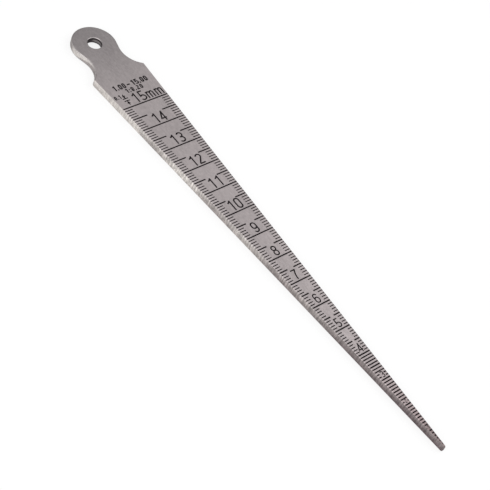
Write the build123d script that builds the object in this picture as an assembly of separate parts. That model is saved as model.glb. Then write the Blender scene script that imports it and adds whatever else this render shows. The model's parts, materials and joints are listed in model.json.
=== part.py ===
"""A stainless taper gauge for slots and bores from 1 to 15 mm, with an enamel-filled scale.

One ground steel wedge does the measuring.  At every graduation the blade is as many millimetres wide as
the number there, so the wedge is pushed into a slot until it stops and the width is read at the slot's
mouth.  Every graduation, numeral and sign is a shallow groove in the top face, and each holds its own
body of black enamel.

Frame: millimetres, +Z up, the gauge lies on its back.  The origin is the middle of the gauge's box, on the
back face.  +Y runs from the tip to the head.
"""

from build123d import *

import os
from math import acos, atan2, cos, hypot, sin

# --- The steel wedge ---------------------------------------------------------------------------------
THICKNESS = 2.2
TRAVEL_PER_MM = 8.2  # how far the blade runs while it widens by one millimetre
TIP_WIDTH = 0.36
TIP_NOSE_RADIUS = 0.6  # rounds the tip across the thickness
PLAIN_LENGTH = 12.18  # from the last graduation to the shoulder, still widening
BLADE_EDGE_BREAK = 0.05

# --- The handle --------------------------------------------------------------------------------------
HOLE_FROM_SHOULDER = 11.24
HEAD_RADIUS = 6.38
NECK_RUN = 2.4  # the straight part between the head's round and the neck's hollow
NECK_RADIUS = 6.7  # of the hollow, down to the shoulder
HANDLE_EDGE_RADIUS = 0.42
HANG_HOLE_DIAMETER = 4.0
HANG_HOLE_CHAMFER = 0.2
HANG_HOLE_BACK_CHAMFER = 0.5

# --- The scale ---------------------------------------------------------------------------------------
FIRST_READING = 1
LAST_READING = 15
LOWEST_TENTH = 5  # the graduation nearest the tip, in tenths
LINE_TO_EDGE = 0.05  # bare steel between a line's end and the blade's edge break
MILLIMETRE_LINE = 0.4
HALF_LINE = 0.4
TENTH_LINE = 0.29
FULL_TENTH_LINE = 0.36  # where the tenths run right across
TENTH_LENGTH_NARROW = 1.2  # at FULL_LINES_BELOW
TENTH_LENGTH_WIDE = 2.4  # at LAST_READING
HALF_GAP_NARROW = 0.5  # between the two half lines, at FULL_LINES_BELOW
HALF_GAP_WIDE = 5.3  # at LAST_READING

# --- Numerals and signs ------------------------------------------------------------------------------
TALL_NUMERAL = 3.45  # from TALL_FROM upwards
TALL_FROM = 10
SHORT_NUMERAL = 2.6  # at FULL_LINES_BELOW, growing to TALL_NUMERAL at TALL_FROM
SMALL_NUMERALS = {3: 1.85, 2: 1.05, 1: 1.05}  # these stand among full tenths
NUMERAL_ABOVE_LINE = 0.5
SMALL_NUMERAL_ABOVE_LINE = 0.4
NUMERAL_CLEARANCE = 0.22  # from a small numeral to the lines beside it
LAST_NUMERAL_X = -0.65  # leaves room for the unit after the last reading
UNIT_GAP = 0.38
RANGE_HEIGHT = 1.85
RANGE_ABOVE_SCALE = 6.2
TAPER_HEIGHT = 1.55
TAPER_TRACKING = 1.15
TAPER_ABOVE_SCALE = 4.4
RESOLUTION_HEIGHT = 1.35
RESOLUTION_X = -6.3
RESOLUTION_ABOVE_SCALE = 3.45
GAP_SIGN_X = -4.5
GAP_SIGN_ABOVE_SCALE = 0.75
GAP_SIGN_HEIGHT = 3.85
GAP_SIGN_WIDTH = 1.75
GAP_SIGN_OPENING = 0.5
GAP_SIGN_LINE = 0.32
GAP_SIGN_ARROW = 1.0

# --- Letter forms, as shares of the height -----------------------------------------------------------
NUMERAL_WEIGHT = 0.125
SMALL_NUMERAL_WEIGHT = 0.15
TEXT_WEIGHT = 0.22
FIGURE_WIDTH = 0.53
FIGURE_ADVANCE = 0.655
STOP_ADVANCE = 0.36
DASH_ADVANCE = 0.95
SIX_LOOP_SIDE = 0.13  # the straight part of a closed loop's side
EIGHT_LOOP_SIDE = 0.05
M_PITCH = 0.28  # from stem to stem
X_HEIGHT = 0.7

# --- Groove and enamel -------------------------------------------------------------------------------
GROOVE_DEPTH = 0.06
ENAMEL_BELOW_FACE = 0.01

# --- Places that follow from the sizes above ---------------------------------------------------------
LAST_READING_FROM_TIP = (LAST_READING - TIP_WIDTH) * TRAVEL_PER_MM
SHOULDER_FROM_TIP = LAST_READING_FROM_TIP + PLAIN_LENGTH
OVERALL_LENGTH = SHOULDER_FROM_TIP + HOLE_FROM_SHOULDER + HEAD_RADIUS
TIP_Y = -OVERALL_LENGTH / 2
SCALE_TOP_Y = TIP_Y + LAST_READING_FROM_TIP
SHOULDER_Y = TIP_Y + SHOULDER_FROM_TIP
HOLE_Y = SHOULDER_Y + HOLE_FROM_SHOULDER
HEAD_Y = HOLE_Y + HEAD_RADIUS
SHOULDER_HALF_WIDTH = (LAST_READING + PLAIN_LENGTH / TRAVEL_PER_MM) / 2
TENTH = TRAVEL_PER_MM / 10
FULL_LINES_BELOW = max(SMALL_NUMERALS) + 1


# --- The steel ---------------------------------------------------------------------------------------


def neck_centre():
    """Centre of the neck's hollow, which runs on to the head's round and meets the shoulder's corner."""
    reach = hypot(SHOULDER_HALF_WIDTH, HOLE_FROM_SHOULDER)
    to_head = hypot(HEAD_RADIUS + NECK_RADIUS, NECK_RUN)
    turn = acos((reach**2 + to_head**2 - NECK_RADIUS**2) / (2 * reach * to_head))
    bearing = atan2(-HOLE_FROM_SHOULDER, SHOULDER_HALF_WIDTH) + turn
    return to_head * cos(bearing), HOLE_Y + to_head * sin(bearing)


def right_outline():
    """The right half of the gauge's outline, from the tip up to the top of the head."""
    neck_x, neck_y = neck_centre()
    facing = atan2(neck_y - HOLE_Y, neck_x) + atan2(NECK_RUN, HEAD_RADIUS + NECK_RADIUS)
    across, along = cos(facing), sin(facing)
    run_top = (HEAD_RADIUS * across, HOLE_Y + HEAD_RADIUS * along)
    run_foot = (neck_x - NECK_RADIUS * across, neck_y - NECK_RADIUS * along)
    tip_corner = (TIP_WIDTH / 2, TIP_Y)
    shoulder = (SHOULDER_HALF_WIDTH, SHOULDER_Y)
    blade = [Line((0, TIP_Y), tip_corner), Line(tip_corner, shoulder)]
    neck = [RadiusArc(shoulder, run_foot, NECK_RADIUS), Line(run_foot, run_top)]
    return blade + neck + [RadiusArc(run_top, (0, HEAD_Y), -HEAD_RADIUS)]


def rim_edges(steel):
    """The edges that lie flat in the back or the top face."""
    levels = steel.edges().group_by(Axis.Z)
    return levels[0] + levels[-1]


def round_handle(steel):
    """Round the rim of the head and the neck."""
    handle = rim_edges(steel).filter_by_position(Axis.Y, SHOULDER_Y, HEAD_Y)
    return fillet(handle, HANDLE_EDGE_RADIUS)


def break_blade_edges(steel):
    """Break the four long edges of the wedge."""
    straights = rim_edges(steel).filter_by(GeomType.LINE).sort_by(SortBy.LENGTH)
    return chamfer(straights[-4:], BLADE_EDGE_BREAK)


def nose_tip(steel):
    """Round the tip's end across the thickness."""
    return fillet(rim_edges(steel).group_by(Axis.Y)[0], TIP_NOSE_RADIUS)


def cut_hang_hole(steel):
    """Bore the head and countersink both rims, the back one more deeply."""
    on_base = (Align.CENTER, Align.CENTER, Align.MIN)
    steel -= Pos(0, HOLE_Y) * Cylinder(HANG_HOLE_DIAMETER / 2, THICKNESS, align=on_base)
    rims = rim_edges(steel).filter_by(GeomType.CIRCLE).sort_by(SortBy.RADIUS)[:2]
    back, top = rims.sort_by(Axis.Z)
    return chamfer(top, HANG_HOLE_CHAMFER).chamfer(HANG_HOLE_BACK_CHAMFER, None, [back])


def blade_blank():
    """The steel wedge with its handle and hang hole, before the grooves are cut."""
    right = make_face(right_outline() + [Line((0, HEAD_Y), (0, TIP_Y))])
    steel = extrude(right + mirror(right, about=Plane.YZ), THICKNESS)
    return cut_hang_hole(nose_tip(break_blade_edges(round_handle(steel))))


# --- Graduations -------------------------------------------------------------------------------------


def reading_y(reading):
    """Where along the blade its width equals the reading."""
    return TIP_Y + (reading - TIP_WIDTH) * TRAVEL_PER_MM


def along_scale(narrow, wide, reading):
    """A size that grows evenly from FULL_LINES_BELOW to LAST_READING."""
    share = (reading - FULL_LINES_BELOW) / (LAST_READING - FULL_LINES_BELOW)
    return narrow + (wide - narrow) * share


def line_reach(reading):
    """How far from the middle a graduation runs."""
    return reading / 2 - BLADE_EDGE_BREAK - LINE_TO_EDGE


def full_line(reading, thickness):
    """One graduation right across the blade."""
    return [Pos(0, reading_y(reading)) * Rectangle(2 * line_reach(reading), thickness)]


def side_lines(reading, inner_end, thickness):
    """A pair of graduations that run in from both edges and stop at inner_end from the middle."""
    length = line_reach(reading) - inner_end
    if length < thickness:
        return []
    middle = inner_end + length / 2
    return [Pos(x, reading_y(reading)) * Rectangle(length, thickness) for x in (-middle, middle)]


def millimetre_lines():
    """The lines of the whole readings."""
    lines = []
    for reading in range(FIRST_READING, LAST_READING + 1):
        lines += full_line(reading, MILLIMETRE_LINE)
    return lines


def half_lines():
    """The lines halfway between two whole readings, which leave room for a numeral on the wide part."""
    lines = []
    for reading in range(FIRST_READING, LAST_READING):
        half = reading + 0.5
        if half < FULL_LINES_BELOW:
            lines += full_line(half, HALF_LINE)
        else:
            gap = along_scale(HALF_GAP_NARROW, HALF_GAP_WIDE, half)
            lines += side_lines(half, gap / 2, HALF_LINE)
    return lines


def tenth_lines():
    """The lines of the tenths, full width near the tip except where a small numeral stands."""
    lines = []
    for tenths in range(LOWEST_TENTH, 10 * LAST_READING):
        reading = tenths / 10
        whole = tenths // 10
        above_whole = (tenths % 10) * TENTH
        if tenths >= 10 * FIRST_READING and tenths % 5 == 0:
            continue
        if reading > FULL_LINES_BELOW:
            length = along_scale(TENTH_LENGTH_NARROW, TENTH_LENGTH_WIDE, reading)
            lines += side_lines(reading, line_reach(reading) - length, TENTH_LINE)
        elif whole in SMALL_NUMERALS and above_whole < SMALL_NUMERAL_ABOVE_LINE + SMALL_NUMERALS[whole]:
            beside_numeral = SMALL_NUMERALS[whole] * FIGURE_WIDTH / 2 + NUMERAL_CLEARANCE
            lines += side_lines(reading, beside_numeral, FULL_TENTH_LINE)
        else:
            lines += full_line(reading, FULL_TENTH_LINE)
    return lines


# --- Lettering ---------------------------------------------------------------------------------------


class Lettering:
    """Upright figures in strokes of one weight, one unit tall and centred on x = 0.

    Each figure's method gives the middle lines of its strokes as a list of paths.
    """

    def __init__(self, weight):
        self.weight = weight
        self.low = weight / 2
        self.high = 1 - weight / 2
        self.bowl = (FIGURE_WIDTH - weight) / 2
        self.upper = self.high - self.bowl
        self.lower = self.low + self.bowl

    def loop(self, base, radius, side):
        """Two half circles joined by straight sides, standing on base."""
        lower = base + radius
        upper = lower + side
        top = CenterArc((0, upper), radius, 0, 180)
        bottom = CenterArc((0, lower), radius, 180, 180)
        return [top, bottom, *(Line((x, lower), (x, upper)) for x in (-radius, radius))]

    def zero(self):
        """One tall loop."""
        return [self.loop(self.low, self.bowl, self.upper - self.lower)]

    def one(self):
        """A stem right of the middle, with a flag that falls to the left."""
        stem_x = 0.085
        flag = ThreePointArc((stem_x, 0.95), (-0.02, 0.84), (-0.17, 0.77))
        return [[Line((stem_x, 0), (stem_x, 1))], [flag]]

    def two(self):
        """A bowl that runs off in a tangent to the foot."""
        bowl = CenterArc((0, self.upper), self.bowl, 165, -200)
        fall = (bowl @ 1).Y - self.low
        heel = ((bowl @ 1).X - (bowl % 1).X / (bowl % 1).Y * fall, self.low)
        foot = Line((-FIGURE_WIDTH / 2, self.low), (FIGURE_WIDTH / 2, self.low))
        return [[bowl, Line(bowl @ 1, heel)], [foot]]

    def three(self):
        """Two bowls open to the left."""
        waist = 0.51
        upper = CenterArc((0, (self.high + waist) / 2), (self.high - waist) / 2, 150, -240)
        lower = CenterArc((0, (self.low + waist) / 2), (waist - self.low) / 2, 90, -240)
        return [[upper], [lower], [Line((-0.08, waist), (0, waist))]]

    def four(self):
        """A stem, a crossbar and a slope from the stem's top to the crossbar's end."""
        stem_x, bar_y, bar_end = 0.12, 0.27, 0.27
        stem = Line((stem_x, 0), (stem_x, 1))
        bar = Line((-bar_end, bar_y), (bar_end, bar_y))
        slope = Line((self.low - bar_end, bar_y), (stem_x, self.high))
        return [[stem], [bar], [slope]]

    def five(self):
        """A roof, a short back and a bowl open to the left."""
        radius = 0.235
        bowl = CenterArc((0, self.low + radius), radius, 132, -282)
        left = (bowl @ 0).X
        roof = Line((left - self.low, self.high), (0.2, self.high))
        back = Line((left, self.high), (left, (bowl @ 0).Y - self.low))
        return [[roof], [back], [bowl]]

    def six(self):
        """A closed lower loop with a back that hooks over at the top."""
        hook = CenterArc((0, self.upper), self.bowl, 20, 160)
        back = Line((-self.bowl, self.upper), (-self.bowl, self.lower))
        return [self.loop(self.low, self.bowl, SIX_LOOP_SIDE), [hook, back]]

    def seven(self):
        """A roof and a leg that bends as it falls."""
        roof = Line((-0.25, self.high), (0.25, self.high))
        leg = ThreePointArc((0.19, self.high), (-0.01, 0.5), (-0.09, 0))
        return [[roof], [leg]]

    def eight(self):
        """A narrow loop on a wider one."""
        waist = self.low + 2 * self.bowl + EIGHT_LOOP_SIDE
        narrow = (self.high - waist - EIGHT_LOOP_SIDE) / 2
        return [self.loop(self.low, self.bowl, EIGHT_LOOP_SIDE), self.loop(waist, narrow, EIGHT_LOOP_SIDE)]

    def nine(self):
        """The six, turned half a turn."""
        return [[stroke.rotate(Axis.Z, 180).translate((0, 1, 0)) for stroke in path] for path in self.six()]

    def letter_m(self):
        """A small m for the unit: three stems under two arches."""
        spring = X_HEIGHT - self.low - M_PITCH / 2
        stems = [[Line((x, 0), (x, spring))] for x in (0, M_PITCH)]
        stems += [[Line((-M_PITCH, 0), (-M_PITCH, X_HEIGHT))]]
        arches = [[CenterArc((x, spring), M_PITCH / 2, 0, 180)] for x in (-M_PITCH / 2, M_PITCH / 2)]
        return stems + arches

    def stop(self):
        """A square full stop."""
        return [[Line((0, 0), (0, self.weight))]]

    def colon(self):
        """Two stops, one above the other."""
        return self.stop() + [[Line((0, X_HEIGHT - self.weight), (0, X_HEIGHT))]]

    def dash(self):
        """A short bar at half height."""
        return [[Line((-FIGURE_WIDTH / 2, 0.45), (FIGURE_WIDTH / 2, 0.45))]]

    def face(self, figure):
        """One figure as a flat shape."""
        drawings = {
            "0": self.zero,
            "1": self.one,
            "2": self.two,
            "3": self.three,
            "4": self.four,
            "5": self.five,
            "6": self.six,
            "7": self.seven,
            "8": self.eight,
            "9": self.nine,
            "m": self.letter_m,
            ".": self.stop,
            ":": self.colon,
            "-": self.dash,
        }
        return Sketch() + [trace(path, self.weight) for path in drawings[figure]()]


ADVANCES = {".": STOP_ADVANCE, ":": STOP_ADVANCE, "-": DASH_ADVANCE, "m": 3 * M_PITCH}


def write(text, height, weight, x, y, tracking=1):
    """A row of figures, centred on x, that stands on y."""
    lettering = Lettering(weight)
    steps = [ADVANCES.get(figure, FIGURE_ADVANCE) * tracking * height for figure in text]
    pen = x - sum(steps) / 2
    figures = []
    for figure, step in zip(text, steps):
        figures.append(Pos(pen + step / 2, y) * scale(lettering.face(figure), by=height))
        pen += step
    return figures


def numeral_height(reading):
    """Height of the numeral beside a whole reading from FULL_LINES_BELOW up."""
    growth = (reading - FULL_LINES_BELOW) / (TALL_FROM - FULL_LINES_BELOW)
    return SHORT_NUMERAL + (TALL_NUMERAL - SHORT_NUMERAL) * min(growth, 1)


def numerals():
    """The number of every whole reading, on the wide side of its line."""
    figures = []
    for reading in range(FIRST_READING, LAST_READING + 1):
        x = LAST_NUMERAL_X if reading == LAST_READING else 0
        if reading in SMALL_NUMERALS:
            y = reading_y(reading) + SMALL_NUMERAL_ABOVE_LINE
            figures += write(str(reading), SMALL_NUMERALS[reading], SMALL_NUMERAL_WEIGHT, x, y)
        else:
            y = reading_y(reading) + NUMERAL_ABOVE_LINE
            figures += write(str(reading), numeral_height(reading), NUMERAL_WEIGHT, x, y)
    return figures


def unit_sign():
    """The unit after the last reading, its stems evenly spaced."""
    after_numeral = LAST_NUMERAL_X + FIGURE_ADVANCE * TALL_NUMERAL + UNIT_GAP
    x = after_numeral + 2.5 * M_PITCH * TALL_NUMERAL
    return write("mm", TALL_NUMERAL, NUMERAL_WEIGHT, x, SCALE_TOP_Y + NUMERAL_ABOVE_LINE)


def range_numbers():
    """The measuring range, on the plain part of the blade."""
    text = f"{FIRST_READING:.2f}-{LAST_READING:.2f}"
    return write(text, RANGE_HEIGHT, TEXT_WEIGHT, 0, SCALE_TOP_Y + RANGE_ABOVE_SCALE)


def taper_ratio():
    """The taper, as width to travel."""
    y = SCALE_TOP_Y + TAPER_ABOVE_SCALE
    return write(f"1:{TRAVEL_PER_MM:.2f}", TAPER_HEIGHT, TEXT_WEIGHT, 0, y, TAPER_TRACKING)


def resolution_number():
    """What one tenth line stands for."""
    y = SCALE_TOP_Y + RESOLUTION_ABOVE_SCALE
    return write("0.1", RESOLUTION_HEIGHT, TEXT_WEIGHT, RESOLUTION_X, y)


def gap_sign():
    """Two arrows that close on a gap between two bars."""
    middle_y = SCALE_TOP_Y + GAP_SIGN_ABOVE_SCALE + GAP_SIGN_HEIGHT / 2
    bar_y = (GAP_SIGN_OPENING + GAP_SIGN_LINE) / 2
    bar = Pos(0, bar_y) * Rectangle(GAP_SIGN_WIDTH, GAP_SIGN_LINE)
    head_top = bar_y + GAP_SIGN_ARROW
    head_half = GAP_SIGN_ARROW / 2
    head = make_face(Polyline((0, bar_y), (head_half, head_top), (-head_half, head_top), close=True))
    shaft_length = GAP_SIGN_HEIGHT / 2 - bar_y
    shaft = Pos(0, bar_y + shaft_length / 2) * Rectangle(GAP_SIGN_LINE, shaft_length)
    upper = bar + head + shaft
    return [Pos(GAP_SIGN_X, middle_y) * half for half in (upper, mirror(upper, about=Plane.XZ))]


# --- Grooves and their enamel ------------------------------------------------------------------------


def prisms(shapes, floor, top):
    """A separate upright solid for each flat shape, from one height to another."""
    return [extrude(Pos(0, 0, floor) * face, top - floor) for shape in shapes for face in shape.faces()]


def main():
    """Build every node and write it to parts/."""
    marks = {
        "millimetre_lines": millimetre_lines(),
        "half_lines": half_lines(),
        "tenth_lines": tenth_lines(),
        "numerals": numerals(),
        "unit_sign": unit_sign(),
        "range_numbers": range_numbers(),
        "taper_ratio": taper_ratio(),
        "resolution_number": resolution_number(),
        "gap_sign": gap_sign(),
    }
    groove_floor = THICKNESS - GROOVE_DEPTH
    cutter_top = THICKNESS + GROOVE_DEPTH
    enamel_top = THICKNESS - ENAMEL_BELOW_FACE
    cutters = [cutter for shapes in marks.values() for cutter in prisms(shapes, groove_floor, cutter_top)]
    nodes = {"blade": blade_blank() - cutters}
    for name, shapes in marks.items():
        nodes[name] = Compound(children=prisms(shapes, groove_floor, enamel_top))

    os.makedirs("parts", exist_ok=True)
    for name, shape in nodes.items():
        export_step(shape, f"parts/{name}.step")


main()
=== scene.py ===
"""Looks of a stainless taper gauge that lies on a pale table.

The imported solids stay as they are. This script gives the ground steel and the enamel in its
marks their finishes, and sets the table, the light and the camera.
"""

import json
import logging
import math
from dataclasses import dataclass, field
from enum import Enum
from typing import Optional, Union

import bpy
from bpy.types import Material, Node, NodeSocket, Object, World
from mathutils import Matrix, Vector


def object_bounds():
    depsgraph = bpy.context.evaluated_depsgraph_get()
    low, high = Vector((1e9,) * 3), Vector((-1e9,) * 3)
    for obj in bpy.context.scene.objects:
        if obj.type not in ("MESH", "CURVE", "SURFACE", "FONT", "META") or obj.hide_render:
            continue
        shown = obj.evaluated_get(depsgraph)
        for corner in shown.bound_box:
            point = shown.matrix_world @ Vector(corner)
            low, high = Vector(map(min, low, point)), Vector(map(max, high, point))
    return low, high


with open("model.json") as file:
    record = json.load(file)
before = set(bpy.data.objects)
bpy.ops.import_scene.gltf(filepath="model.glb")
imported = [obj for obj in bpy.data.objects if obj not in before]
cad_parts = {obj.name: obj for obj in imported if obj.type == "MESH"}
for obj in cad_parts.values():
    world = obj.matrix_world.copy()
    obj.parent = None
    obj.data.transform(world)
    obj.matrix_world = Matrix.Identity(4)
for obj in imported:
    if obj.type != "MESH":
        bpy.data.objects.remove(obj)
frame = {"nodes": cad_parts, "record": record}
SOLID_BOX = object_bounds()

LOG = logging.getLogger("taper_gauge")
MM = 0.001

Colour = tuple[float, float, float]
Pair = tuple[float, float]
Value = Union[float, NodeSocket]


class Blend(Enum):
    """How one colour is laid over another."""

    MIX = "MIX"
    MULTIPLY = "MULTIPLY"


@dataclass(frozen=True)
class Grain:
    """Cloudy noise that a finish is streaked, mottled or roughened with.

    Attributes:
        scale: How many clouds a millimetre has along X, Y and Z.
        detail: How many finer layers it has.
        roughness: How strong the finer layers are.
        low: The noise at which its tone is darkest. The tone is brightest at 1 minus that.
        swing: How far the tone goes to either side.
    """

    scale: Colour
    detail: float = 3.0
    roughness: float = 0.6
    low: float = 0.3
    swing: float = 0.0


class Bench:
    """A material's or a world's nodes, with short calls for those that the finishes use."""

    def __init__(self, name: str, world: Optional[World] = None) -> None:
        """Start with an empty tree and its output node.

        Args:
            name: The name of the material to make.
            world: A world to work on instead.
        """
        self.owner: Union[Material, World] = world or bpy.data.materials.new(name)
        self.owner.use_nodes = True
        self.tree = self.owner.node_tree
        self.tree.nodes.clear()
        self.output = self.node("ShaderNodeOutputWorld" if world else "ShaderNodeOutputMaterial")

    def node(self, kind: str, **settings: object) -> Node:
        """Add a node.

        Args:
            kind: The node's type name.
            **settings: Properties to set on it.

        Returns:
            The new node.
        """
        made = self.tree.nodes.new(kind)
        for key, value in settings.items():
            setattr(made, key, value)
        return made

    def plug(self, socket: NodeSocket, value: Union[Value, Colour]) -> None:
        """Link a socket to another one, or set its value.

        Args:
            socket: The input socket.
            value: An output socket, a number or a colour.
        """
        if isinstance(value, NodeSocket):
            self.tree.links.new(value, socket)
        elif isinstance(value, tuple) and len(socket.default_value) == 4:
            socket.default_value = (*value, 1.0)
        else:
            socket.default_value = value

    def axis(self, axis: str, source: str = "Object") -> NodeSocket:
        """Give one of the surface's own coordinates, in metres, or one part of its normal.

        Args:
            axis: X, Y or Z.
            source: Object for the coordinates, Normal for the normal.

        Returns:
            The number's socket.
        """
        parts = self.node("ShaderNodeSeparateXYZ")
        self.plug(parts.inputs[0], self.node("ShaderNodeTexCoord").outputs[source])
        return parts.outputs[axis]

    def math(self, operation: str, *values: Value, clamp: bool = False) -> NodeSocket:
        """Work out one number from others.

        Args:
            operation: The math node's operation.
            *values: Its inputs, in order.
            clamp: Whether the result is held between 0 and 1.

        Returns:
            The result's socket.
        """
        made = self.node("ShaderNodeMath", operation=operation, use_clamp=clamp)
        for socket, value in zip(made.inputs, values):
            self.plug(socket, value)
        return made.outputs[0]

    def span(
        self, value: Value, low: float, high: float, start: float = 0.0, end: float = 1.0
    ) -> NodeSocket:
        """Map one span of numbers smoothly to another, held at both ends.

        Args:
            value: The number to map.
            low: Where the first span starts.
            high: Where the first span ends.
            start: The result at low.
            end: The result at high.

        Returns:
            The mapped number's socket.
        """
        made = self.node("ShaderNodeMapRange", interpolation_type="SMOOTHSTEP")
        for socket, number in zip(made.inputs, (value, low, high, start, end)):
            self.plug(socket, number)
        return made.outputs[0]

    def ramp(
        self, value: Value, low: float, high: float, start: float = 0.0, end: float = 1.0
    ) -> NodeSocket:
        """Map one span of numbers evenly to another, and go on beyond both ends.

        Args:
            value: The number to map.
            low: Where the first span starts.
            high: Where the first span ends.
            start: The result at low.
            end: The result at high.

        Returns:
            The mapped number's socket.
        """
        made = self.node("ShaderNodeMapRange", clamp=False)
        for socket, number in zip(made.inputs, (value, low, high, start, end)):
            self.plug(socket, number)
        return made.outputs[0]

    def both(self, first: Value, second: Value) -> NodeSocket:
        """Multiply two shares.

        Args:
            first: One share.
            second: The other.

        Returns:
            The share that is in both.
        """
        return self.math("MULTIPLY", first, second)

    def wave(self, start: float, length: float) -> NodeSocket:
        """Let a wave run along the gauge.

        Args:
            start: One of its crests, in millimetres along the gauge.
            length: From one crest to the next, in millimetres.

        Returns:
            1 at a crest, -1 halfway between two.
        """
        turns = self.ramp(self.axis("Y"), start * MM, (start + length) * MM, 0.0, math.tau)
        return self.math("COSINE", turns)

    def place(self, scale: Colour) -> NodeSocket:
        """Give the surface's own coordinates in millimetres, stretched along the axes.

        Args:
            scale: How many pattern units a millimetre has along X, Y and Z.

        Returns:
            The coordinates' socket.
        """
        place = self.node("ShaderNodeTexCoord")
        stretched = self.node("ShaderNodeVectorMath", operation="MULTIPLY")
        self.plug(stretched.inputs[0], place.outputs["Object"])
        self.plug(stretched.inputs[1], tuple(share / MM for share in scale))
        return stretched.outputs[0]

    def noise(self, grain: Grain) -> NodeSocket:
        """Add cloudy noise about one half.

        Args:
            grain: The noise's kind.

        Returns:
            The noise's socket.
        """
        made = self.node("ShaderNodeTexNoise")
        self.plug(made.inputs["Vector"], self.place(grain.scale))
        self.plug(made.inputs["Scale"], 1.0)
        self.plug(made.inputs["Detail"], grain.detail)
        self.plug(made.inputs["Roughness"], grain.roughness)
        return made.outputs["Fac"]

    def tone(self, grain: Grain, middle: float = 0.0) -> NodeSocket:
        """Turn noise into a tone.

        Args:
            grain: The noise's kind.
            middle: The tone's middle.

        Returns:
            A number that swings to either side of the middle.
        """
        ends = (middle - grain.swing, middle + grain.swing)
        return self.span(self.noise(grain), grain.low, 1.0 - grain.low, *ends)

    def mix(
        self, share: Value, first: object, second: object, blend: Blend = Blend.MIX
    ) -> NodeSocket:
        """Lay the second colour over the first.

        Args:
            share: How much of the second colour shows.
            first: The colour below.
            second: The colour above.
            blend: How it is laid on.

        Returns:
            The colour's socket.
        """
        made = self.node("ShaderNodeMix", data_type="RGBA", blend_type=blend.value)
        self.plug(made.inputs["Factor"], share)
        self.plug(made.inputs[6], first)
        self.plug(made.inputs[7], second)
        return made.outputs[2]

    def shade(self, colour: Union[Colour, NodeSocket], *tones: NodeSocket) -> NodeSocket:
        """Multiply a colour by each of several tones.

        Args:
            colour: The colour without them.
            *tones: Numbers about one.

        Returns:
            The shaded colour's socket.
        """
        made: object = colour
        for tone in tones:
            made = self.mix(1.0, made, tone, Blend.MULTIPLY)
        return made

    def bump(
        self, height: NodeSocket, depth: float, below: Optional[NodeSocket] = None
    ) -> NodeSocket:
        """Turn a height into a tilted normal.

        Args:
            height: The height, from 0 to 1.
            depth: What a height of 1 measures, in metres.
            below: The normal of a coarser bump.

        Returns:
            The normal's socket.
        """
        made = self.node("ShaderNodeBump")
        self.plug(made.inputs["Distance"], depth)
        self.plug(made.inputs["Height"], height)
        if below is not None:
            self.plug(made.inputs["Normal"], below)
        return made.outputs["Normal"]


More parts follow.
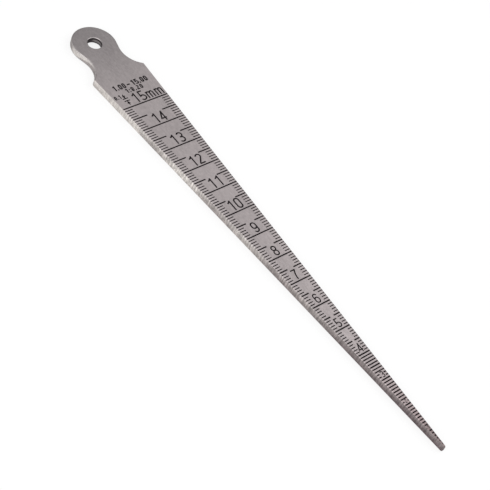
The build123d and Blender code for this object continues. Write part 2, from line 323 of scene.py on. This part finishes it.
@dataclass(frozen=True)
class GroundSteel:
    """Satin stainless steel, ground along its faces and across its edges.

    The lengths are in millimetres, in the gauge's own frame.

    Attributes:
        sheen_face_colour: The flat faces where the scale is, brightened by a painted sheen.
        handle_colour: The flat faces of the head and neck, without the painted sheen.
        tip_colour: The flat faces at the tip, stained by use.
        reflected_edge: The edges where their painted reflection is full, near the shoulder.
        shaded_edge: The edges where the painted reflection has faded to painted shade, towards the
            tip.
        dull_edge: The stamped edge of the head and neck.
        highlit_edge: The same with a painted highlight, on the head's flanks.
        dull_rim: The rounded rims of the head and neck.
        highlit_rim: The same under the painted highlight.
        bore_shade: The punched hole's wall, darkened with painted shade.
        bore_glint: A painted glint along it.
        face_sheen_ends: Where the faces' painted sheen has given way to the handle's colour, and
            where it begins to.
        tip_ends: Where the stain at the tip begins, and where it is full.
        shoulder: Where the ground edge ends, and where the stamped edge is full.
        highlight_top: Where the painted highlight on the flanks begins beside the hole, and where
            it is full.
        highlight_foot: Where it has faded out at half height on the neck, and where it still is
            full.
        highlight_lean: How far the foot runs on along the neck for each millimetre of height.
        reflection_fade: Where the edge's painted reflection has wholly faded, and where it is
            full.
        reflection_rise: How late between them the painted reflection grows.
        ripple_length: From one brighter place of the painted reflection to the next.
        ripple_start: One of those bright places.
        ripple_depth: How much darker or brighter than the run of the edge they are.
        corner_highlight: How much brighter the edge is at its top corner, as a painted highlight.
        face_roughness: How widely the faces scatter a reflection.
        edge_roughness: The same for the edges.
        graze_tint: How much of the reflection is left at a grazing angle.
        hole: The middle of the hang hole, in metres.
        bore_shade_reach: How far from it the bore's painted shade has faded out, and where it is
            full.
        highlight_reach: How far from it the painted highlight on the flanks begins, and where it
            is full.
        lined: Where along the blade the first scale line is, and where the last.
        half_width: Half the blade's width at both.
        line_pitch: From one tenth line to the next.
        lip_smear: How dark the enamel leaves the top corner beside a line.
        wall_smear: How dark it leaves the edge under it.
        border: How far in the rubbed border of the face has ended, and where it is full.
        border_ends: Where along the blade it begins, and where it is full.
        border_light: How much brighter it is.
        calm: Where the edge's streaks begin to calm down towards the handle, and where they are.
        wild_depth: How strong the streaks are before it.
        calm_depth: How strong they are after it.
        chatter_begins: Where the wheel began to chatter, and where it chattered fully.
        chatter_ends: Where it had stopped, and where it began to stop.
        chatter_depth: How much stronger the streaks are there.
        worn_end: Where the face begins to darken at the very tip, and where it is darkest.
        worn_tone: Its tone there.
        wiped: How much of the corners' smear is wiped off, left and right; on the left also a
            painted glint.
        lean_upright: How level the surface is where the face's finish ends, and where the edge's
            is full. A level surface has 1, an upright one 0.
        lean_rim: How level it is where the rim begins over the edge, and where it is full.
        lean_face: How level it is where the rim has ended at the face, and where it begins to.
        glint_foot: The height where the bore's painted glint begins, and where it is full.
        glint_head: The height where it has ended, and where it begins to.
        glint_side: How far to the right it begins, and where it is full.
        corner_reach: The height where the edge begins to brighten, and where it is brightest.
        lined_fade: How far beyond the end lines the scale has ended, and where it begins to.
        lip_inset: How far in from the edge the smear has ended, and where it is full.
        lip_height: The height where the corner's smear begins, and where it is full.
        wall_height: The height where the edge's smear begins, and where it is full.
        wiped_middle: Where the left's wiping gives way to the right's.
        uneven_depth: The least and the most of the edge's smear.
        face_grains: The faces' broad clouds, fine grain along the blade and fine speckle.
        edge_grains: The edges' streaks, hairs and patches.
        smear_grain: The noise by which the edge's smear comes and goes.
        face_relief: The scratches along the faces.
        edge_relief: The scratches across the edges.
        pits: The pits in both.
        relief_depth: How deep the scratches and the pits are.
    """

    sheen_face_colour: Colour = (0.361, 0.326, 0.327)
    handle_colour: Colour = (0.248, 0.228, 0.230)
    tip_colour: Colour = (0.263, 0.196, 0.198)
    reflected_edge: Colour = (0.585, 0.553, 0.528)
    shaded_edge: Colour = (0.150, 0.120, 0.124)
    dull_edge: Colour = (0.367, 0.337, 0.332)
    highlit_edge: Colour = (0.585, 0.553, 0.530)
    dull_rim: Colour = (0.380, 0.355, 0.350)
    highlit_rim: Colour = (0.490, 0.462, 0.450)
    bore_shade: Colour = (0.055, 0.047, 0.050)
    bore_glint: Colour = (0.240, 0.220, 0.222)
    face_sheen_ends: Pair = (77.0, 42.0)
    tip_ends: Pair = (-36.0, -86.0)
    shoulder: Pair = (56.5, 59.5)
    highlight_top: Pair = (71.3, 68.9)
    highlight_foot: Pair = (64.3, 66.0)
    highlight_lean: float = 4.5
    reflection_fade: Pair = (-62.0, 46.0)
    reflection_rise: float = 1.2
    ripple_length: float = 24.6
    ripple_start: float = 20.5
    ripple_depth: float = 0.3
    corner_highlight: float = 0.2
    face_roughness: float = 0.44
    edge_roughness: float = 0.36
    graze_tint: float = 0.5
    hole: Vector = field(default_factory=lambda: Vector((0.0, 0.0, 0.0)))
    bore_shade_reach: Pair = (2.1, 2.03)
    highlight_reach: Pair = (3.0, 4.0)
    lined: Pair = (-69.676, 45.124)
    half_width: Pair = (0.5, 7.5)
    line_pitch: float = 0.82
    lip_smear: float = 0.7
    wall_smear: float = 0.3
    border: Pair = (1.9, 1.3)
    border_ends: Pair = (-45.0, -5.0)
    border_light: float = 0.13
    calm: Pair = (30.0, 57.0)
    wild_depth: float = 1.2
    calm_depth: float = 0.55
    chatter_begins: Pair = (12.0, 20.0)
    chatter_ends: Pair = (33.0, 27.0)
    chatter_depth: float = 0.5
    worn_end: Pair = (-66.0, -69.0)
    worn_tone: float = 0.68
    wiped: Pair = (0.35, -0.15)
    lean_upright: Pair = (0.8, 0.3)
    lean_rim: Pair = (0.02, 0.3)
    lean_face: Pair = (0.85, 0.65)
    glint_foot: Pair = (0.7, 1.1)
    glint_head: Pair = (1.7, 1.3)
    glint_side: Pair = (0.3, 1.6)
    corner_reach: Pair = (0.3, 2.1)
    lined_fade: Pair = (0.4, 0.2)
    lip_inset: Pair = (0.16, 0.1)
    lip_height: Pair = (1.95, 2.15)
    wall_height: Pair = (0.3, 0.8)
    wiped_middle: Pair = (-0.1, 0.1)
    uneven_depth: Pair = (0.4, 1.0)
    face_grains: tuple[Grain, ...] = (
        Grain((0.16, 0.06, 0.16), roughness=0.5, swing=0.05),
        Grain((7.0, 0.5, 7.0), low=0.25, swing=0.07),
        Grain((1.6, 1.1, 1.6), roughness=0.65, swing=0.07),
    )
    edge_grains: tuple[Grain, ...] = (
        Grain((1.9, 1.9, 0.35), low=0.35, swing=0.14),
        Grain((4.5, 4.5, 0.5), detail=2.0, swing=0.14),
        Grain((0.5, 0.5, 0.8), detail=2.0, roughness=0.5, swing=0.11),
    )
    smear_grain: Grain = Grain((0.3, 0.3, 0.3), detail=2.0, roughness=0.5, low=0.35)
    face_relief: Grain = Grain((9.0, 0.6, 9.0))
    edge_relief: Grain = Grain((5.0, 5.0, 0.4))
    pits: Grain = Grain((6.0, 6.0, 6.0), detail=2.0, roughness=0.7)
    relief_depth: float = 0.004

    def make(self) -> Material:
        """Build the finish.

        Returns:
            The material.
        """
        bench = Bench("ground_steel_finish")
        upright = self.upright_share(bench)
        # Painted sheen: the faces along the scale are brighter than those of the head and neck.
        face = bench.mix(self.reach(bench, self.face_sheen_ends), self.handle_colour, self.sheen_face_colour)
        face = bench.mix(self.reach(bench, self.tip_ends), face, self.tip_colour)
        # Painted reflection on the edges, full near the shoulder and fading to painted shade
        # towards the tip.
        edge = bench.mix(self.edge_reflection_share(bench), self.shaded_edge, self.reflected_edge)
        handle = self.reach(bench, self.shoulder)
        # Painted highlight on the head's upper flanks, running down the neck as a thin line.
        rubbed = self.flank_highlight_share(bench)
        edge = bench.mix(handle, edge, bench.mix(rubbed, self.dull_edge, self.highlit_edge))
        face = bench.shade(face, *self.face_tones(bench))
        edge = bench.shade(edge, *self.edge_tones(bench))
        colour = bench.shade(bench.mix(upright, face, edge), *self.smear_tones(bench))
        # The rims carry the same painted highlight.
        rim = bench.mix(rubbed, self.dull_rim, self.highlit_rim)
        colour = bench.mix(bench.both(handle, self.rim_share(bench)), colour, rim)
        # Painted glint along the right side of the hole's wall.
        bore = bench.mix(self.bore_glint_share(bench), self.bore_shade, self.bore_glint)
        # Painted shade: the hole's wall is near black.
        colour = bench.mix(self.ring(bench, self.bore_shade_reach), colour, bore)

        steel = bench.node("ShaderNodeBsdfPrincipled")
        bench.plug(steel.inputs["Base Color"], colour)
        bench.plug(steel.inputs["Metallic"], 1.0)
        rough = bench.span(upright, 0.0, 1.0, self.face_roughness, self.edge_roughness)
        bench.plug(steel.inputs["Roughness"], rough)
        bench.plug(steel.inputs["Specular Tint"], (self.graze_tint,) * 3)
        bench.plug(steel.inputs["Normal"], self.relief(bench, upright))
        bench.plug(bench.output.inputs["Surface"], steel.outputs[0])
        return bench.owner

    def upright_share(self, bench: Bench) -> NodeSocket:
        """Tell the edges from the faces by how far the surface leans over.

        Args:
            bench: The material in work.

        Returns:
            0 on a flat face, 1 on an upright edge.
        """
        lean = bench.math("ABSOLUTE", bench.axis("Z", "Normal"))
        return bench.span(lean, *self.lean_upright)

    def rim_share(self, bench: Bench) -> NodeSocket:
        """Find the rounded rims between the faces and the edges.

        Args:
            bench: The material in work.

        Returns:
            1 on a rim, 0 on a face or an edge.
        """
        lean = bench.math("ABSOLUTE", bench.axis("Z", "Normal"))
        return bench.both(bench.span(lean, *self.lean_rim), bench.span(lean, *self.lean_face))

    def bore_glint_share(self, bench: Bench) -> NodeSocket:
        """Place the painted glint on the hole's right wall, halfway down.

        Args:
            bench: The material in work.

        Returns:
            1 in the painted glint, 0 elsewhere.
        """
        foot = self.reach(bench, self.glint_foot, "Z")
        head = self.reach(bench, self.glint_head, "Z")
        return bench.both(bench.both(foot, head), self.reach(bench, self.glint_side, "X"))

    def reach(self, bench: Bench, ends: Pair, axis: str = "Y") -> NodeSocket:
        """Let one finish give way to another along the gauge, across it or up its height.

        Args:
            bench: The material in work.
            ends: Where the first finish begins to give way, and where the second is full.
            axis: Y along the gauge, X across it, or Z up its height.

        Returns:
            0 on the first finish, 1 on the second.
        """
        return bench.span(bench.axis(axis), ends[0] * MM, ends[1] * MM)

    def edge_reflection_share(self, bench: Bench) -> NodeSocket:
        """Paint a reflection on the edges, fading towards the tip and the back in ripples along
        the gauge.

        Args:
            bench: The material in work.

        Returns:
            0 where the painted reflection has faded, 1 where it is full.
        """
        run = bench.ramp(bench.axis("Y"), self.reflection_fade[0] * MM, self.reflection_fade[1] * MM)
        run = bench.math("POWER", bench.math("MAXIMUM", run, 0.0), self.reflection_rise)
        wave = bench.wave(self.ripple_start, self.ripple_length)
        ripples = bench.math("MULTIPLY_ADD", wave, self.ripple_depth, 1.0)
        # Painted highlight along the edge's top corner.
        corner = bench.both(self.reach(bench, self.corner_reach, "Z"), self.corner_highlight)
        return bench.math("MULTIPLY_ADD", run, ripples, corner, clamp=True)

    def ring(self, bench: Bench, ends: Pair) -> NodeSocket:
        """Tell how far a place is from the hang hole's axis.

        Args:
            bench: The material in work.
            ends: The distance where the share is 0, and the one where it is 1.

        Returns:
            The share.
        """
        across = bench.math("SUBTRACT", bench.axis("X"), self.hole.x)
        along = bench.math("SUBTRACT", bench.axis("Y"), self.hole.y)
        squares = bench.math("MULTIPLY_ADD", across, across, bench.both(along, along))
        return bench.span(bench.math("SQRT", squares), ends[0] * MM, ends[1] * MM)

    def flank_highlight_share(self, bench: Bench) -> NodeSocket:
        """Find where a highlight is painted on the head's flanks, down to a thin line along the
        neck.

        Args:
            bench: The material in work.

        Returns:
            1 in the painted highlight, 0 elsewhere.
        """
        along = bench.axis("Y")
        foot = bench.math("MULTIPLY_ADD", bench.axis("Z"), self.highlight_lean, along)
        lift = self.highlight_lean * MM
        flank = bench.span(foot, self.highlight_foot[0] * MM + lift, self.highlight_foot[1] * MM + lift)
        flank = bench.both(flank, self.reach(bench, self.highlight_top))
        return bench.both(flank, self.ring(bench, self.highlight_reach))

    def face_tones(self, bench: Bench) -> tuple[NodeSocket, ...]:
        """Mottle the faces, brighten their borders and darken them at the very tip.

        Args:
            bench: The material in work.

        Returns:
            Tones about one.
        """
        worn = bench.math(
            "MULTIPLY_ADD", self.reach(bench, self.worn_end), self.worn_tone - 1.0, 1.0
        )
        grains = (bench.tone(grain, 1.0) for grain in self.face_grains)
        return (*grains, self.border_tone(bench), worn)

    def border_tone(self, bench: Bench) -> NodeSocket:
        """Brighten the steel between the short lines, where slots have rubbed the blade's borders.

        Args:
            bench: The material in work.

        Returns:
            A tone of one or more.
        """
        border = bench.span(self.inset(bench), self.border[0] * MM, self.border[1] * MM)
        border = bench.both(border, self.lined_share(bench))
        border = bench.both(border, self.reach(bench, self.border_ends))
        return bench.math("MULTIPLY_ADD", border, self.border_light, 1.0)

    def edge_tones(self, bench: Bench) -> tuple[NodeSocket, ...]:
        """Streak the edges across the gauge's thickness, as the wheel left them.

        Args:
            bench: The material in work.

        Returns:
            Tones about one.
        """
        calmed = self.calm_depth - self.wild_depth
        depth = bench.math(
            "MULTIPLY_ADD", self.reach(bench, self.calm), calmed, self.wild_depth
        )
        begun = self.reach(bench, self.chatter_begins)
        chatter = bench.both(begun, self.reach(bench, self.chatter_ends))
        depth = bench.math("MULTIPLY_ADD", chatter, self.chatter_depth, depth)
        return tuple(
            bench.math("MULTIPLY_ADD", bench.tone(grain), depth, 1.0)
            for grain in self.edge_grains
        )

    def inset(self, bench: Bench) -> NodeSocket:
        """Tell how far in from the blade's side edge a place is.

        Args:
            bench: The material in work.

        Returns:
            The distance in metres.
        """
        ends = (*self.lined, *self.half_width)
        half = bench.ramp(bench.axis("Y"), *(end * MM for end in ends))
        return bench.math("SUBTRACT", half, bench.math("ABSOLUTE", bench.axis("X")))

    def lined_share(self, bench: Bench) -> NodeSocket:
        """Find the length of the blade that carries the scale.

        Args:
            bench: The material in work.

        Returns:
            1 from the first line to the last, 0 elsewhere.
        """
        first, last = self.lined
        gone, fading = self.lined_fade
        begun = self.reach(bench, (first - gone, first - fading))
        return bench.both(begun, self.reach(bench, (last + gone, last + fading)))

    def smear_tones(self, bench: Bench) -> tuple[NodeSocket, ...]:
        """Carry the scale over the blade's top corners and faintly down its edges.

        Args:
            bench: The material in work.

        Returns:
            Tones that are darkest beside each line, where enamel was wiped off: of the corner,
            and of the edge under it. On the left, the corner between the lines is a painted glint.
        """
        dark = bench.ramp(bench.wave(self.lined[1], self.line_pitch), -1.0, 1.0)
        inset = bench.span(self.inset(bench), self.lip_inset[0] * MM, self.lip_inset[1] * MM)
        near = bench.both(self.lined_share(bench), inset)
        lip = bench.both(self.reach(bench, self.lip_height, "Z"), -self.lip_smear)
        wall = bench.both(self.reach(bench, self.wall_height, "Z"), -self.wall_smear)
        low = self.smear_grain.low
        uneven = bench.span(bench.noise(self.smear_grain), low, 1.0 - low, *self.uneven_depth)
        # Left of the middle, the offset lifts the corner between the lines above its colour: a
        # painted glint.
        left, right = self.wiped
        side = self.reach(bench, self.wiped_middle, "X")
        wiped = bench.math("MULTIPLY_ADD", side, right - left, left)
        lip_dark = bench.math("SUBTRACT", dark, wiped)
        wall_dark = bench.math("SUBTRACT", dark, 0.5)
        return (
            bench.math("MULTIPLY_ADD", bench.both(near, lip), lip_dark, 1.0),
            bench.math("MULTIPLY_ADD", bench.both(bench.both(near, wall), uneven), wall_dark, 1.0),
        )

    def relief(self, bench: Bench, upright: NodeSocket) -> NodeSocket:
        """Raise the grain of both finishes.

        Args:
            bench: The material in work.
            upright: The share of edge finish.

        Returns:
            The normal's socket.
        """
        along, across = bench.noise(self.face_relief), bench.noise(self.edge_relief)
        keep = bench.math("SUBTRACT", 1.0, upright)
        height = bench.math("MULTIPLY_ADD", along, keep, bench.both(across, upright))
        depth = self.relief_depth * MM
        return bench.bump(bench.noise(self.pits), depth, bench.bump(height, depth))


@dataclass(frozen=True)
class ScaleEnamel:
    """Matt black enamel wiped into the marks, a little worn and uneven.

    Attributes:
        colour: Fresh enamel.
        worn_colour: Enamel with steel showing through.
        wear: The noise by which it is worn.
        worn_from: The noise where the wear begins, and where it is full.
        roughness: How matt it is.
        gloss: How strong its reflections are.
        grit: Its rough skin.
        grit_depth: How deep the skin is, in millimetres.
    """

    colour: Colour = (0.008, 0.006, 0.007)
    worn_colour: Colour = (0.028, 0.022, 0.024)
    wear: Grain = Grain((3.0, 3.0, 3.0))
    worn_from: Pair = (0.45, 0.75)
    roughness: float = 0.75
    gloss: float = 0.08
    grit: Grain = Grain((12.0, 12.0, 12.0), detail=2.0)
    grit_depth: float = 0.006

    def make(self) -> Material:
        """Build the finish.

        Returns:
            The material.
        """
        bench = Bench("scale_enamel_finish")
        wear = bench.span(bench.noise(self.wear), *self.worn_from)
        paint = bench.node("ShaderNodeBsdfPrincipled")
        bench.plug(paint.inputs["Base Color"], bench.mix(wear, self.colour, self.worn_colour))
        bench.plug(paint.inputs["Roughness"], self.roughness)
        bench.plug(paint.inputs["Specular IOR Level"], self.gloss)
        skin = bench.bump(bench.noise(self.grit), self.grit_depth * MM)
        bench.plug(paint.inputs["Normal"], skin)
        bench.plug(bench.output.inputs["Surface"], paint.outputs[0])
        return bench.owner


@dataclass
class TaperGauge:
    """The gauge itself: one steel blade, and enamel in each group of marks.

    Attributes:
        blade: The name of the steel's node.
        marks: The names of the enamel's nodes.
    """

    blade: str = "blade"
    marks: tuple[str, ...] = (
        "millimetre_lines",
        "half_lines",
        "tenth_lines",
        "numerals",
        "unit_sign",
        "range_numbers",
        "taper_ratio",
        "resolution_number",
        "gap_sign",
    )

    def dress(self) -> list[Object]:
        """Give every solid its finish.

        Returns:
            The dressed objects.
        """
        hole = next(mount for mount in frame["record"]["mounts"] if mount["name"] == "hang_hole")
        steel = GroundSteel(hole=Vector(hole["pos_m"])).make()
        enamel = ScaleEnamel().make()
        dressed = [self.cover(self.blade, steel)]
        dressed += [self.cover(name, enamel) for name in self.marks]
        return dressed

    def cover(self, name: str, material: Material) -> Object:
        """Put one finish on one solid.

        Args:
            name: The solid's node.
            material: The finish.

        Returns:
            The solid.
        """
        solid: Object = frame["nodes"][name]
        for place in solid.material_slots:
            place.material = material
        return solid


@dataclass(frozen=True)
class SoftLamp:
    """A square soft lamp that faces the gauge's middle.

    Attributes:
        name: The lamp's name.
        place: Where it hangs, in metres.
        side: Its side, in metres.
        power: Its power, in watts.
    """

    name: str
    place: Colour
    side: float
    power: float

    def hang(self) -> Object:
        """Hang the lamp.

        Returns:
            The lamp.
        """
        data = bpy.data.lights.new(self.name, "AREA")
        data.shape = "SQUARE"
        data.size = self.side
        data.energy = self.power
        lamp = bpy.data.objects.new(self.name, data)
        lamp.location = self.place
        lamp.rotation_euler = (-Vector(self.place)).to_track_quat("-Z", "Y").to_euler()
        bpy.context.scene.collection.objects.link(lamp)
        return lamp


@dataclass
class Studio:
    """A pale table, a white surround, two soft lamps and the camera.

    Attributes:
        table_reach: Half the table's side, in metres.
        table_gap: How far the table lies under the gauge, in metres.
        table_colour: The colour with which the table lights the gauge.
        table_shade: The part of its white that the camera sees only where light falls.
        table_glow: The part that the camera sees without light.
        table_gloss: The same for its reflections in the steel.
        surround: The strength of the white surround as light.
        dim_depth: How much darker than white the steel sees the surround beyond the head.
        dim_low: How high the darker part begins, and where it is full.
        dim_beyond: How far beyond the head it begins, and where it is full.
        lamps: A broad key lamp from the left, and a dimmer one from the right of the tip.
        lens: The camera's focal length, in millimetres.
        sensor: The width of its sensor, in millimetres.
        nearest: The nearest that it sees, in metres.
        eye: The camera's place, in metres.
        right: The way that the picture's right points.
        down: The way that the picture's foot points.
    """

    table_reach: float = 3.0
    table_gap: float = 0.02 * MM
    table_colour: Colour = (0.8, 0.8, 0.8)
    table_shade: Colour = (0.22, 0.22, 0.22)
    table_glow: float = 0.775
    table_gloss: float = 0.35
    surround: float = 0.6
    dim_depth: float = 0.7
    dim_low: Pair = (0.5, 0.15)
    dim_beyond: Pair = (-0.1, 0.5)
    lamps: tuple[SoftLamp, ...] = (
        SoftLamp("key", (-0.75, -0.25, 0.75), side=1.2, power=7.0),
        SoftLamp("fill", (0.75, -0.35, 0.85), side=1.0, power=4.5),
    )
    lens: float = 106.31
    sensor: float = 36.0
    nearest: float = 0.01
    eye: Vector = field(default_factory=lambda: Vector((-213.10, -133.47, 267.37)) * MM)
    right: Vector = field(default_factory=lambda: Vector((0.74054, -0.60925, 0.28357)))
    down: Vector = field(default_factory=lambda: Vector((-0.34776, -0.70852, -0.61405)))

    def set_camera(self) -> None:
        """Place the camera over the gauge's left side, looking towards the head."""
        data = bpy.data.cameras.new("camera")
        data.lens = self.lens
        data.sensor_width = self.sensor
        data.clip_start = self.nearest
        camera = bpy.data.objects.new("camera", data)
        backward = self.right.cross(-self.down)
        turn = Matrix((self.right, -self.down, backward)).transposed()
        camera.matrix_world = Matrix.Translation(self.eye) @ turn.to_4x4()
        bpy.context.scene.collection.objects.link(camera)
        bpy.context.scene.camera = camera

    def lay_table(self) -> Object:
        """Lay the table under the gauge.

        Returns:
            The table.
        """
        reach, top = self.table_reach, SOLID_BOX[0].z - self.table_gap
        corners = [(x * reach, y * reach, top) for x, y in ((-1, -1), (1, -1), (1, 1), (-1, 1))]
        mesh = bpy.data.meshes.new("table")
        mesh.from_pydata(corners, [], [(0, 1, 2, 3)])
        table = bpy.data.objects.new("table", mesh)
        mesh.materials.append(self.table_finish())
        bpy.context.scene.collection.objects.link(table)
        return table

    def table_finish(self) -> Material:
        """Make the table's white, which keeps the gauge's soft shadow.

        Returns:
            The material.
        """
        bench = Bench("table_finish")
        path = bench.node("ShaderNodeLightPath")
        camera = path.outputs["Is Camera Ray"]
        seen = bench.both(camera, self.table_glow)
        seen = bench.math("MULTIPLY_ADD", path.outputs["Is Glossy Ray"], self.table_gloss, seen)
        glow = bench.node("ShaderNodeEmission")
        bench.plug(glow.inputs["Strength"], seen)
        paint = bench.node("ShaderNodeBsdfDiffuse")
        shade = bench.mix(camera, self.table_colour, self.table_shade)
        bench.plug(paint.inputs["Color"], shade)
        glowing = bench.node("ShaderNodeAddShader")
        bench.plug(glowing.inputs[0], paint.outputs[0])
        bench.plug(glowing.inputs[1], glow.outputs[0])
        bench.plug(bench.output.inputs["Surface"], glowing.outputs[0])
        return bench.owner

    def set_surround(self) -> None:
        """Surround the table with white, which the steel sees dimmer low down beyond the head."""
        world = bpy.data.worlds.new("surround")
        bpy.context.scene.world = world
        bench = Bench("surround", world)
        path = bench.node("ShaderNodeLightPath")
        low = bench.span(bench.axis("Z", "Generated"), *self.dim_low)
        beyond = bench.span(bench.axis("Y", "Generated"), *self.dim_beyond)
        dim = bench.both(bench.both(low, beyond), -self.dim_depth)
        mirrored = bench.both(bench.math("ADD", dim, 1.0), path.outputs["Is Glossy Ray"])
        camera, through = path.outputs["Is Camera Ray"], path.outputs["Is Transmission Ray"]
        share = bench.math("MAXIMUM", mirrored, bench.math("MAXIMUM", camera, through))
        sky = bench.node("ShaderNodeBackground")
        bench.plug(sky.inputs["Color"], (1.0, 1.0, 1.0))
        bench.plug(sky.inputs["Strength"], bench.math("MAXIMUM", share, self.surround))
        bench.plug(bench.output.inputs["Surface"], sky.outputs[0])

    def build(self) -> None:
        """Set up everything around the gauge."""
        self.set_camera()
        self.lay_table()
        self.set_surround()
        for lamp in self.lamps:
            lamp.hang()
        bpy.context.scene.view_settings.view_transform = "Standard"


def main() -> None:
    """Build the studio, dress the gauge and report each piece."""
    logging.basicConfig(level=logging.INFO, format="%(name)s: %(message)s")
    Studio().build()
    for piece in TaperGauge().dress():
        LOG.info("%s wears %s", piece.name, piece.active_material.name)


if __name__ == "__main__":
    main()
